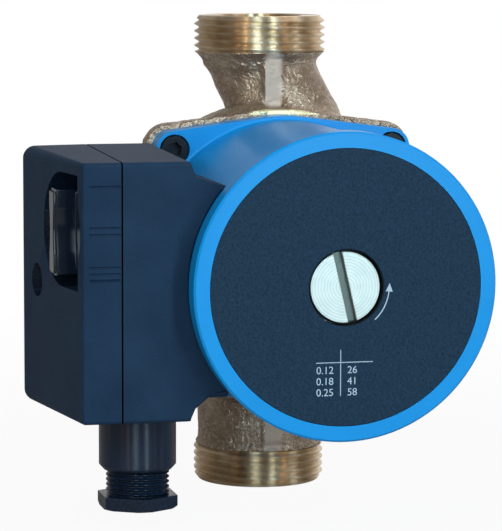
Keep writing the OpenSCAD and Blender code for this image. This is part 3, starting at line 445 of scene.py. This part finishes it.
# MOTOR HOUSING
# A die casting in aluminium, sprayed bright blue. It is smooth and softly glossy, with small round
# edges, and a narrow fillet where the barrel meets the flange.
def rounded(piece, width, segments=2, chosen=None):
    """Rounds a piece's sharp edges, or only those whose ends pass a test, with its flats evenly shaded"""
    sharp_from = radians(30)
    if chosen:
        shape = bmesh.new()
        shape.from_mesh(piece.data)
        layers = shape.edges.layers.float
        weight = layers.get("bevel_weight_edge") or layers.new("bevel_weight_edge")
        for edge in shape.edges:
            sharp = len(edge.link_faces) == 2 and edge.calc_face_angle() > sharp_from
            edge[weight] = float(sharp and all(chosen(v.co) for v in edge.verts))
        shape.to_mesh(piece.data)
        shape.free()
    step = piece.modifiers.new("edges", "BEVEL")
    step.width = width
    step.segments = segments
    step.limit_method = "WEIGHT" if chosen else "ANGLE"
    step.angle_limit = sharp_from
    step.use_clamp_overlap = not chosen
    step.miter_outer = "MITER_ARC"
    settle(piece, 40)
    # Faces without any area, which the rounding can leave, are closed up
    shape = bmesh.new()
    shape.from_mesh(piece.data)
    bmesh.ops.dissolve_degenerate(shape, edges=shape.edges, dist=0.0002 * mm)
    shape.to_mesh(piece.data)
    shape.free()
    step = piece.modifiers.new("even_faces", "WEIGHTED_NORMAL")
    step.keep_sharp = True
    bpy.context.view_layer.update()
    shaded = piece.evaluated_get(bpy.context.evaluated_depsgraph_get())
    piece.data = bpy.data.meshes.new_from_object(shaded)
    piece.modifiers.clear()
    piece.data.name = piece.name
    return piece


def paint(piece, material, chosen):
    """Gives a material to the faces whose corners all pass a test"""
    mesh = piece.data
    mesh.materials.append(material)
    slot = len(mesh.materials) - 1
    for face in mesh.polygons:
        if all(chosen(mesh.vertices[i].co) for i in face.vertices):
            face.material_index = slot


def lathe(name, outline):
    """A closed ring turned round the motor's axis from (radius, distance in front) points"""
    around = 192
    shape = bmesh.new()
    rings = [[shape.verts.new((r * cos(2 * pi * j / around), -w, axis_h + r * sin(2 * pi * j / around)))
              for j in range(around)] for r, w in outline]
    for a, b in zip(rings, rings[1:] + rings[:1]):
        for j in range(around):
            k = (j + 1) % around
            shape.faces.new((a[j], a[k], b[k], b[j]))
    bmesh.ops.recalc_face_normals(shape, faces=shape.faces)
    made = built(shape, name)
    made.data.shade_smooth()
    made.data.set_sharp_from_angle(angle=radians(40))
    return made


# Sprayed enamel: an even blue, softly glossy, with a faint orange peel in waves about 1.5 mm long
blue_enamel, tree = new_material("blue_enamel")
place = add(tree, "TexCoord")
peel = add(tree, "TexNoise", {"Vector": place.outputs["Object"], "Scale": 1 / (1.5 * mm), "Detail": 2.0})
mottle = add(tree, "TexNoise", {"Vector": place.outputs["Object"], "Scale": 1 / (16 * mm), "Detail": 3.0})
tint = add(tree, "Mix", {0: mottle.outputs[0], 6: linear("#0488cf"), 7: linear("#0a93dc")},
           data_type="RGBA")
relief = add(tree, "Bump", {"Height": peel.outputs[0], "Strength": 0.10, "Distance": 0.06 * mm})
gloss = add(tree, "MapRange", {"Value": peel.outputs[0], "From Min": 0.3, "From Max": 0.7,
                               "To Min": 0.30, "To Max": 0.36})
enamel = add(tree, "BsdfPrincipled", {
    "Base Color": tint.outputs[2], "Roughness": gloss.outputs[0], "IOR": 1.5,
    "Specular IOR Level": 0.25, "Normal": relief.outputs[0]})
add(tree, "OutputMaterial", {"Surface": enamel.outputs[0]})

# Painted shade on the wall of the vent's hole: dull and nearly black, for the shadow in the gap round the
# vent screw
painted_hole_shade, tree = new_material("painted_hole_shade")
place = add(tree, "TexCoord")
hole_shade_noise = add(tree, "TexNoise", {"Vector": place.outputs["Object"], "Scale": 1 / (1.2 * mm), "Detail": 3.0})
tint = add(tree, "Mix", {0: hole_shade_noise.outputs[0], 6: linear("#08090b"), 7: linear("#15171a")},
           data_type="RGBA")
hole_shade_shader = add(tree, "BsdfPrincipled", {"Base Color": tint.outputs[2], "Roughness": 0.6})
add(tree, "OutputMaterial", {"Surface": hole_shade_shader.outputs[0]})

vent_hole_r, vent_hole_y = 11.7 * mm, -99 * mm
motor = rounded(copy_of("motor_housing", "motor_casting"), 0.3 * mm)
coat(motor, blue_enamel)
# The hole's wall gets the nearly black painted shade
paint(motor, painted_hole_shade, lambda v: v.y < vent_hole_y and hypot(v.x, v.z - axis_h) < vent_hole_r)
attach(motor, "pump")
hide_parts("motor_housing")

barrel_r, flange_w, fillet = 43.5 * mm, 33 * mm, 0.9 * mm
arc = [(barrel_r + fillet * (1 - sin(t)), flange_w + fillet * (1 - cos(t)))
       for t in [radians(15 * i) for i in range(7)]]
under_barrel, under_flange = barrel_r - 0.3 * mm, flange_w - 0.2 * mm
ring = lathe("barrel_fillet", arc + [(under_barrel, flange_w + fillet), (under_barrel, under_flange),
                                     (barrel_r + fillet, under_flange)])
coat(ring, blue_enamel)
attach(ring, "pump")


# NAME PLATE
# A thin disc printed dark blue, let into the front rim. It carries only general marks: an arrow for
# the way the rotor turns, and a small table of numbers.
plate_face_w = 107.93 * mm
plate_back_w = plate_face_w - 0.7 * mm
plate_r, plate_hole_r, plate_edge = 40.5 * mm, 11.27 * mm, 0.2 * mm

# Matt screen print over aluminium: nearly black blue, with a fine speckle 0.7 mm wide
printed_plate, tree = new_material("printed_plate")
place = add(tree, "TexCoord")
speck = add(tree, "TexNoise", {"Vector": place.outputs["Object"], "Scale": 1 / (0.7 * mm), "Detail": 3.0,
                               "Roughness": 0.7})
shade = add(tree, "ValToRGB", {0: speck.outputs[0]})
shade.color_ramp.elements[0].position = 0.35
shade.color_ramp.elements[0].color = linear("#152838")
shade.color_ramp.elements[1].position = 0.68
shade.color_ramp.elements[1].color = linear("#223b52")
relief = add(tree, "Bump", {"Height": speck.outputs[0], "Strength": 0.3, "Distance": 0.03 * mm})
print_coat = add(tree, "BsdfPrincipled", {
    "Base Color": shade.outputs[0], "Roughness": 0.55, "IOR": 1.45, "Specular IOR Level": 0.12,
    "Normal": relief.outputs[0]})
add(tree, "OutputMaterial", {"Surface": print_coat.outputs[0]})

plate = lathe("name_plate_disc", [
    (plate_hole_r, plate_back_w), (plate_hole_r, plate_face_w - plate_edge),
    (plate_hole_r + plate_edge, plate_face_w), (plate_r - plate_edge, plate_face_w),
    (plate_r, plate_face_w - plate_edge), (plate_r, plate_back_w)])
coat(plate, printed_plate)
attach(plate, "pump")
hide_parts("name_plate")

# Pale printing ink: an even matt film, 0.03 mm thick, which reads as a soft grey-white
pale_ink, tree = new_material("pale_ink")
ink = add(tree, "BsdfPrincipled", {"Base Color": linear("#a9bccb"), "Roughness": 0.5})
add(tree, "OutputMaterial", {"Surface": ink.outputs[0]})
ink_proud, ink_sunk = 0.03 * mm, 0.05 * mm


def printed(name, outlines):
    """Flat ink shapes on the plate, from lists of (right, up) points round the motor's axis"""
    shape = bmesh.new()
    for outline in outlines:
        front = [shape.verts.new((x, -plate_face_w - ink_proud, axis_h + z)) for x, z in outline]
        back = [shape.verts.new((x, -plate_face_w + ink_sunk, axis_h + z)) for x, z in outline]
        shape.faces.new(front)
        shape.faces.new(back[::-1])
        for i in range(len(front)):
            k = (i + 1) % len(front)
            shape.faces.new((front[i], back[i], back[k], front[k]))
    bmesh.ops.recalc_face_normals(shape, faces=shape.faces)
    made = built(shape, name)
    coat(made, pale_ink)
    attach(made, "pump")


def arc_band(radius, width, start, stop):
    """A band along an arc, given in degrees from the right"""
    steps = 24
    turns = [radians(start + (stop - start) * i / steps) for i in range(steps + 1)]
    return ([((radius + width / 2) * cos(t), (radius + width / 2) * sin(t)) for t in turns]
            + [((radius - width / 2) * cos(t), (radius - width / 2) * sin(t)) for t in turns[::-1]])


def bar(x0, z0, x1, z1):
    """The outline of an upright rectangle"""
    return [(x0, z0), (x1, z0), (x1, z1), (x0, z1)]


arrow_r, arrow_line = 12.7 * mm, 0.32 * mm
arrow_tail, arrow_neck, arrow_tip = -48, -6, 5
arrow_head = [((arrow_r + d) * cos(radians(t)), (arrow_r + d) * sin(radians(t))) for d, t in (
    (-0.95 * mm, arrow_neck), (1.15 * mm, arrow_neck), (0.2 * mm, arrow_tip))]
printed("turning_arrow", [arc_band(arrow_r, arrow_line, arrow_tail, arrow_neck), arrow_head])

rule = 0.24 * mm
under_heads, between_columns = -21.8 * mm, -1.8 * mm
printed("table_rules", [bar(-9 * mm, under_heads, 8 * mm, under_heads + rule),
                        bar(between_columns, -31.5 * mm, between_columns + rule, -18 * mm)])


def number(name, text, x, z, height):
    """A plain number in ink, with its lower left corner at a place on the plate"""
    letters = bpy.data.curves.new(name, "FONT")
    letters.body = text
    letters.size = height / 0.72
    letters.extrude = 0.04 * mm
    made = bpy.data.objects.new(name, letters)
    bpy.context.scene.collection.objects.link(made)
    made.matrix_world = (Matrix.Translation((x, -plate_face_w + 0.01 * mm, axis_h + z))
                         @ Matrix.Rotation(pi / 2, 4, "X"))
    bpy.context.view_layer.update()
    mesh = bpy.data.meshes.new_from_object(made.evaluated_get(bpy.context.evaluated_depsgraph_get()))
    mesh.transform(made.matrix_world)
    bpy.data.objects.remove(made)
    flat = bpy.data.objects.new(name, mesh)
    bpy.context.scene.collection.objects.link(flat)
    coat(flat, pale_ink)
    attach(flat, "pump")


digit_h, first_line, line_step = 2.2 * mm, -24.9, 3.25
current_x, power_x = -9 * mm, 0.3 * mm
for i, (current, power) in enumerate((("0.12", "26"), ("0.18", "41"), ("0.25", "58"))):
    base_line = (first_line - line_step * i) * mm
    number(f"table_current_{i + 1}", current, current_x, base_line, digit_h)
    number(f"table_power_{i + 1}", power, power_x, base_line, digit_h)


# VENT SCREW
# Turned brass with a pale nickel coat. A broad slot runs right across the head, and the tool left
# fine rings round its middle.
# Nickel plate: pale, faintly green metal. The slot's floor is painted a darker grey as painted shade. The
# rings are 0.9 mm apart, coarser than the real ones.
nickel_plated_brass, tree = new_material("nickel_plated_brass")
place = add(tree, "TexCoord")
centred = add(tree, "Mapping", {"Vector": place.outputs["Object"], "Location": (0, 0, -axis_h)})
rings = add(tree, "TexWave", {"Vector": centred.outputs[0], "Scale": 0.314 / (0.9 * mm),
                              "Distortion": 1.2, "Detail": 2.0},
            wave_type="RINGS", rings_direction="Y")
film = add(tree, "TexNoise", {"Vector": place.outputs["Object"], "Scale": 1 / (4 * mm), "Detail": 4.0})
marks = add(tree, "Mix", {0: 0.35, 2: film.outputs[0], 3: rings.outputs[1]})
plated = add(tree, "Mix", {0: marks.outputs[0], 6: linear("#b4bfba"), 7: linear("#e4ebe6")},
             data_type="RGBA")
spot = add(tree, "SeparateXYZ", {0: place.outputs["Object"]})
# Painted shade: faces deeper than the head's face, in the slot, turn a darker grey
painted_slot_shade = add(tree, "MapRange", {"Value": spot.outputs["Y"], "From Min": -105.9 * mm,
                                    "From Max": -104.6 * mm})
tint = add(tree, "Mix", {0: painted_slot_shade.outputs[0], 6: plated.outputs[2], 7: linear("#69736f")},
           data_type="RGBA")
relief = add(tree, "Bump", {"Height": rings.outputs[1], "Strength": 0.5, "Distance": 0.03 * mm})
nickel = add(tree, "BsdfPrincipled", {
    "Base Color": tint.outputs[2], "Metallic": 0.75, "Roughness": 0.4, "Normal": relief.outputs[0]})
add(tree, "OutputMaterial", {"Surface": nickel.outputs[0]})

vent = rounded(copy_of("vent_screw", "vent_screw_turned"), 0.3 * mm)
coat(vent, nickel_plated_brass)
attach(vent, "vent")
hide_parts("vent_screw")


# FLANGE SCREWS
# Four socket cap screws in black oxide steel, sunk in the flange's counterbores.
# Black oxide: a dark, slightly patchy film over steel, with a low metal shine
black_oxide_steel, tree = new_material("black_oxide_steel")
place = add(tree, "TexCoord")
film = add(tree, "TexNoise", {"Vector": place.outputs["Object"], "Scale": 1 / (1.2 * mm), "Detail": 4.0})
tint = add(tree, "Mix", {0: film.outputs[0], 6: linear("#16181b"), 7: linear("#2b2f34")},
           data_type="RGBA")
wear = add(tree, "MapRange", {"Value": film.outputs[0], "To Min": 0.28, "To Max": 0.45})
oxide = add(tree, "BsdfPrincipled", {"Base Color": tint.outputs[2], "Metallic": 0.8,
                                     "Roughness": wear.outputs[0]})
add(tree, "OutputMaterial", {"Surface": oxide.outputs[0]})

screws = rounded(copy_of("flange_screws", "flange_cap_screws"), 0.25 * mm)
coat(screws, black_oxide_steel)
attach(screws, "pump")
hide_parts("flange_screws")


# TERMINAL BOX
# Base and cover are moulded in black glass-filled nylon. Both have a fine spark-eroded grain, which
# gives a soft even sheen. The base carries the gland's collar.
def moulded(name, dark, light, rough, shine=0.08, grain=0.45 * mm, depth=0.06 * mm):
    """Moulded plastic with a grain of a given width and depth"""
    material, tree = new_material(name)
    place = add(tree, "TexCoord")
    fine = add(tree, "TexNoise", {"Vector": place.outputs["Object"], "Scale": 1 / grain, "Detail": 3.0,
                                  "Roughness": 0.6})
    broad = add(tree, "TexNoise", {"Vector": place.outputs["Object"], "Scale": 1 / (14 * mm),
                                   "Detail": 3.0})
    mixed = add(tree, "Mix", {0: 0.5, 2: fine.outputs[0], 3: broad.outputs[0]})
    ramp = add(tree, "ValToRGB", {0: mixed.outputs[0]})
    ramp.color_ramp.elements[0].position = 0.38
    ramp.color_ramp.elements[0].color = linear(dark)
    ramp.color_ramp.elements[1].position = 0.62
    ramp.color_ramp.elements[1].color = linear(light)
    relief = add(tree, "Bump", {"Height": fine.outputs[0], "Strength": 0.5, "Distance": depth})
    gloss = add(tree, "MapRange", {"Value": fine.outputs[0], "From Min": 0.35, "From Max": 0.65,
                                   "To Min": rough - 0.06, "To Max": rough + 0.06})
    shader = add(tree, "BsdfPrincipled", {
        "Base Color": ramp.outputs[0], "Roughness": gloss.outputs[0], "IOR": 1.53,
        "Specular IOR Level": shine, "Normal": relief.outputs[0]})
    add(tree, "OutputMaterial", {"Surface": shader.outputs[0]})
    return material


# Eroded nylon is matt and reads as a very dark blue. Where the mould was polished it is smoother,
# blacker and takes small highlights. The same darker nylon also serves as painted shade in the cover's
# knob pocket and screw well.
black_nylon = moulded("black_nylon", "#182c42", "#20374f", 0.55)
black_cover_nylon = moulded("black_cover_nylon", "#172b42", "#1f364f", 0.55)
smooth_nylon_and_pocket_shade = moulded("smooth_black_nylon_and_pocket_shade", "#0c1624", "#122238", 0.30, 0.3, 0.8 * mm, 0.004 * mm)
# The collar's wall has fine rings from the turned mould, so each light is drawn out along the axis
ringed_nylon = moulded("ringed_black_nylon", "#0a1626", "#10223c", 0.36, 0.45, 0.8 * mm, 0.004 * mm)
tree = ringed_nylon.node_tree
facing = add(tree, "NewGeometry")
round_wall = add(tree, "VectorMath", {0: facing.outputs["Normal"], 1: (0.001, 0, 1)},
                 operation="CROSS_PRODUCT")
wall = tree.nodes["Principled BSDF"]
wall.inputs["Anisotropic"].default_value = 0.9
wall.inputs["Anisotropic Rotation"].default_value = 0.25
tree.links.new(round_wall.outputs[0], wall.inputs["Tangent"])
# The seam between base and cover lies in its own shadow
dark_seam = moulded("shadowed_seam", "#030304", "#060607", 0.9, 0.0)

seam_x, seam_half = -63.4 * mm, 0.32 * mm
box_front, box_top = -95 * mm, 36 * mm
box_bottom_z, box_lowest_z = 35.3 * mm, 33 * mm
gland_x, gland_y = -53.4 * mm, -66.5 * mm
collar_r, collar_top = 12 * mm, 35.5 * mm


def outer_edge(v):
    """On the box's front, top or bottom, where the edges are rounded more"""
    return ((v.y < box_front + 0.3 * mm or v.z > axis_h + box_top or box_bottom_z > v.z > box_lowest_z)
            and abs(v.x - seam_x) > 0.1 * mm)


def on_seam(v):
    """On the edge where base and cover meet"""
    return abs(v.x - seam_x) < 0.05 * mm


base = rounded(copy_of("terminal_box_base", "box_base"), 0.8 * mm, 3, outer_edge)
rounded(base, 0.25 * mm, 1, on_seam)
coat(base, black_nylon)
paint(base, ringed_nylon,
      lambda v: v.z < collar_top and hypot(v.x - gland_x, v.y - gland_y) < collar_r)
paint(base, dark_seam, lambda v: abs(v.x - seam_x) < seam_half)
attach(base, "pump")
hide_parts("terminal_box_base")

# One, two and three grooves on the cover's front mark the knob's three speeds
groove_w, groove_deep = 0.85 * mm, 0.6 * mm
groove_from, groove_to = -73 * mm, -63.9 * mm
knob_y, knob_z, pocket_r = -76.5 * mm, 90.5 * mm, 17.2 * mm
screw_y, screw_z, well_r = -53 * mm, 73 * mm, 5.1 * mm
cover = rounded(copy_of("terminal_box_cover", "box_cover"), 1.0 * mm, 3, outer_edge)
for i, rise in enumerate((29.2, 17.3, 15.4, 5.9, 4.0, 2.2)):
    z = axis_h + rise * mm
    cut(cover, block(f"speed_mark_{i}", (groove_from, box_front - mm, z - groove_w / 2),
                     (groove_to, box_front + groove_deep, z + groove_w / 2)))
rounded(cover, 0.25 * mm, 1, on_seam)
coat(cover, black_cover_nylon)
# Painted shade: the walls of the knob's pocket and of the screw's well get the darker smooth nylon, so that
# they read as lying in shadow
paint(cover, smooth_nylon_and_pocket_shade, lambda v: hypot(v.y - knob_y, v.z - knob_z) < pocket_r)
paint(cover, smooth_nylon_and_pocket_shade, lambda v: hypot(v.y - screw_y, v.z - screw_z) < well_r)
paint(cover, dark_seam, lambda v: abs(v.x - seam_x) < seam_half)
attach(cover, "pump")
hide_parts("terminal_box_cover")


# COVER SCREW
# A zinc-plated pan-head screw with a cross recess, at the bottom of the cover's well.
# Zinc plate: a bright, cool grey metal with a slightly cloudy film
zinc_plated_steel, tree = new_material("zinc_plated_steel")
place = add(tree, "TexCoord")
film = add(tree, "TexNoise", {"Vector": place.outputs["Object"], "Scale": 1 / (1.5 * mm), "Detail": 4.0})
tint = add(tree, "Mix", {0: film.outputs[0], 6: linear("#8f959a"), 7: linear("#c3c9cd")},
           data_type="RGBA")
zinc = add(tree, "BsdfPrincipled", {"Base Color": tint.outputs[2], "Metallic": 1.0, "Roughness": 0.35})
add(tree, "OutputMaterial", {"Surface": zinc.outputs[0]})

screw_face, recess_deep = -76.82 * mm, 1.3 * mm
recess_long, recess_wide = 4.4 * mm, 0.9 * mm
screw = copy_of("cover_screw", "cover_pan_screw")
for wide, tall in ((recess_long, recess_wide), (recess_wide, recess_long)):
    cut(screw, block("recess", (screw_face - mm, screw_y - wide / 2, screw_z - tall / 2),
                     (screw_face + recess_deep, screw_y + wide / 2, screw_z + tall / 2)))
rounded(screw, 0.3 * mm)
coat(screw, zinc_plated_steel)
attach(screw, "pump")
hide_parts("cover_screw")


# SPEED KNOB
# Moulded in glossy black ABS: a round foot with a waisted grip across it. It sits in the cover's
# round pocket and clips onto the switch's spindle.
# Polished ABS: a deep black with clear reflections, a little wavy where the thick grip sank in
glossy_black_abs, tree = new_material("glossy_black_abs")
place = add(tree, "TexCoord")
wave = add(tree, "TexNoise", {"Vector": place.outputs["Object"], "Scale": 1 / (5 * mm), "Detail": 2.0})
relief = add(tree, "Bump", {"Height": wave.outputs[0], "Strength": 0.08, "Distance": 0.1 * mm})
abs_shader = add(tree, "BsdfPrincipled", {
    "Base Color": linear("#0e1826"), "Roughness": 0.17, "IOR": 1.54, "Specular IOR Level": 0.4,
    "Normal": relief.outputs[0]})
add(tree, "OutputMaterial", {"Surface": abs_shader.outputs[0]})

knob = rounded(copy_of("speed_knob", "speed_knob_moulded"), 0.4 * mm, 3)
coat(knob, glossy_black_abs)
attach(knob, "knob")
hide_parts("speed_knob")


# GLAND SCREW
# A hollow screw with a hexagon head in smooth black nylon. It turns up into the collar and presses
# the rubber sleeve onto the cable.
head_top, screw_top = 9.4 * mm, 23.4 * mm
# The thread is a piece of its own. The cut lies just inside the head, clear of the head's top face.
above_head = head_top - 0.02 * mm
head = copy_of("gland_screw", "gland_hexagon_head")
cut(head, block("thread_part", (-70 * mm, -80 * mm, above_head), (-40 * mm, -50 * mm, 30 * mm)))
rounded(head, 0.3 * mm)
coat(head, smooth_nylon_and_pocket_shade)
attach(head, "gland")
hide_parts("gland_screw")

gland_crest_r, gland_pitch, gland_depth, gland_bore_r = 9.5 * mm, 1.5 * mm, 0.85 * mm, 6 * mm
gland_thread = threaded_end("gland_thread", gland_crest_r, gland_pitch, gland_depth,
                            screw_top - head_top + 0.1 * mm, gland_bore_r, (0.9 * mm, 0.9 * mm), 112)
gland_thread.data.transform(Matrix.Translation((gland_x, gland_y, screw_top))
                            @ Matrix.Rotation(pi, 4, "X"))
coat(gland_thread, smooth_nylon_and_pocket_shade)
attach(gland_thread, "gland")


# PIECES INSIDE
# They show only through the ports, past the vent screw or when the pump is taken apart. Each keeps
# its CAD shape and gets the finish of the real one.
def finish(name, dark, light, metallic, rough, grain, depth, nodes):
    """Gives CAD nodes a finish that has a grain of a given width and depth"""
    material, tree = new_material(name)
    place = add(tree, "TexCoord")
    fine = add(tree, "TexNoise", {"Vector": place.outputs["Object"], "Scale": 1 / grain, "Detail": 4.0})
    tint = add(tree, "Mix", {0: fine.outputs[0], 6: linear(dark), 7: linear(light)}, data_type="RGBA")
    relief = add(tree, "Bump", {"Height": fine.outputs[0], "Strength": 0.4, "Distance": depth})
    shader = add(tree, "BsdfPrincipled", {"Base Color": tint.outputs[2], "Metallic": metallic,
                                          "Roughness": rough, "Normal": relief.outputs[0]})
    add(tree, "OutputMaterial", {"Surface": shader.outputs[0]})
    for node in nodes:
        coat(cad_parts[node], material)


# Thin stainless sheet, drawn in a press: bright and smooth
finish("drawn_stainless_steel", "#9a9fa3", "#c6cacd", 1.0, 0.32, 1.0 * mm, 0.01 * mm,
       ["neck_ring", "bearing_plate", "rotor_can"])
# Moulded rubber: dull black
finish("black_nitrile_rubber", "#0f1010", "#1c1d1e", 0.0, 0.62, 0.5 * mm, 0.03 * mm,
       ["housing_gasket", "vent_seal", "box_gasket", "lead_grommet", "gland_seal", "bearing_carrier"])
# Pressed and ground carbon: dark grey with a faint metal sheen
finish("carbon_graphite", "#26272a", "#3a3b3f", 0.2, 0.5, 0.4 * mm, 0.02 * mm,
       ["impeller_bearing", "vent_bearing", "thrust_ring"])
# Ground ceramic: ivory white and smooth
finish("ground_alumina", "#d9d4c8", "#efece4", 0.0, 0.3, 0.8 * mm, 0.01 * mm, ["shaft"])
# A stainless sleeve ground to size over the rotor: bright, with fine marks
finish("ground_rotor_sleeve", "#8d9194", "#b6babd", 1.0, 0.28, 0.6 * mm, 0.01 * mm, ["rotor_core"])
# Moulded impeller plastic: cream, with a soft gloss
finish("cream_pump_plastic", "#cdbf98", "#e0d5b4", 0.0, 0.45, 0.7 * mm, 0.02 * mm,
       ["impeller", "impeller_shroud"])
# Stamped iron sheets: dull grey, a little uneven from their oxide
finish("stacked_iron_sheets", "#5c5f63", "#85898d", 0.9, 0.5, 0.5 * mm, 0.03 * mm, ["stator_core"])
# Wound copper wire under lacquer: red-brown and glossy, uneven by the wire's 0.6 mm
finish("lacquered_copper_wire", "#8a4320", "#c4693a", 0.9, 0.35, 0.6 * mm, 0.2 * mm, ["stator_windings"])
# Zinc plate again, on the two screws of the box's base
finish("zinc_plated_screws", "#8f959a", "#c3c9cd", 1.0, 0.35, 1.2 * mm, 0.01 * mm, ["box_screws"])
# Turned brass: warm yellow and bright
finish("turned_brass", "#b08f4c", "#d9bb78", 1.0, 0.25, 1.0 * mm, 0.01 * mm,
       ["earth_screw", "terminal_screws"])
# Moulded polyamide: ivory on the terminal block and the spindle, dark grey on switch and slip ring
finish("ivory_polyamide", "#cfc8b2", "#e2dcc9", 0.0, 0.45, 0.6 * mm, 0.02 * mm,
       ["terminal_block", "switch_spindle"])
finish("dark_grey_polyamide", "#26282c", "#36393e", 0.0, 0.45, 0.6 * mm, 0.02 * mm,
       ["speed_switch", "gland_clamp_ring"])
# The capacitor's moulded case: light grey and smooth
finish("grey_polypropylene", "#a6abae", "#bfc3c5", 0.0, 0.4, 0.8 * mm, 0.01 * mm, ["capacitor"])
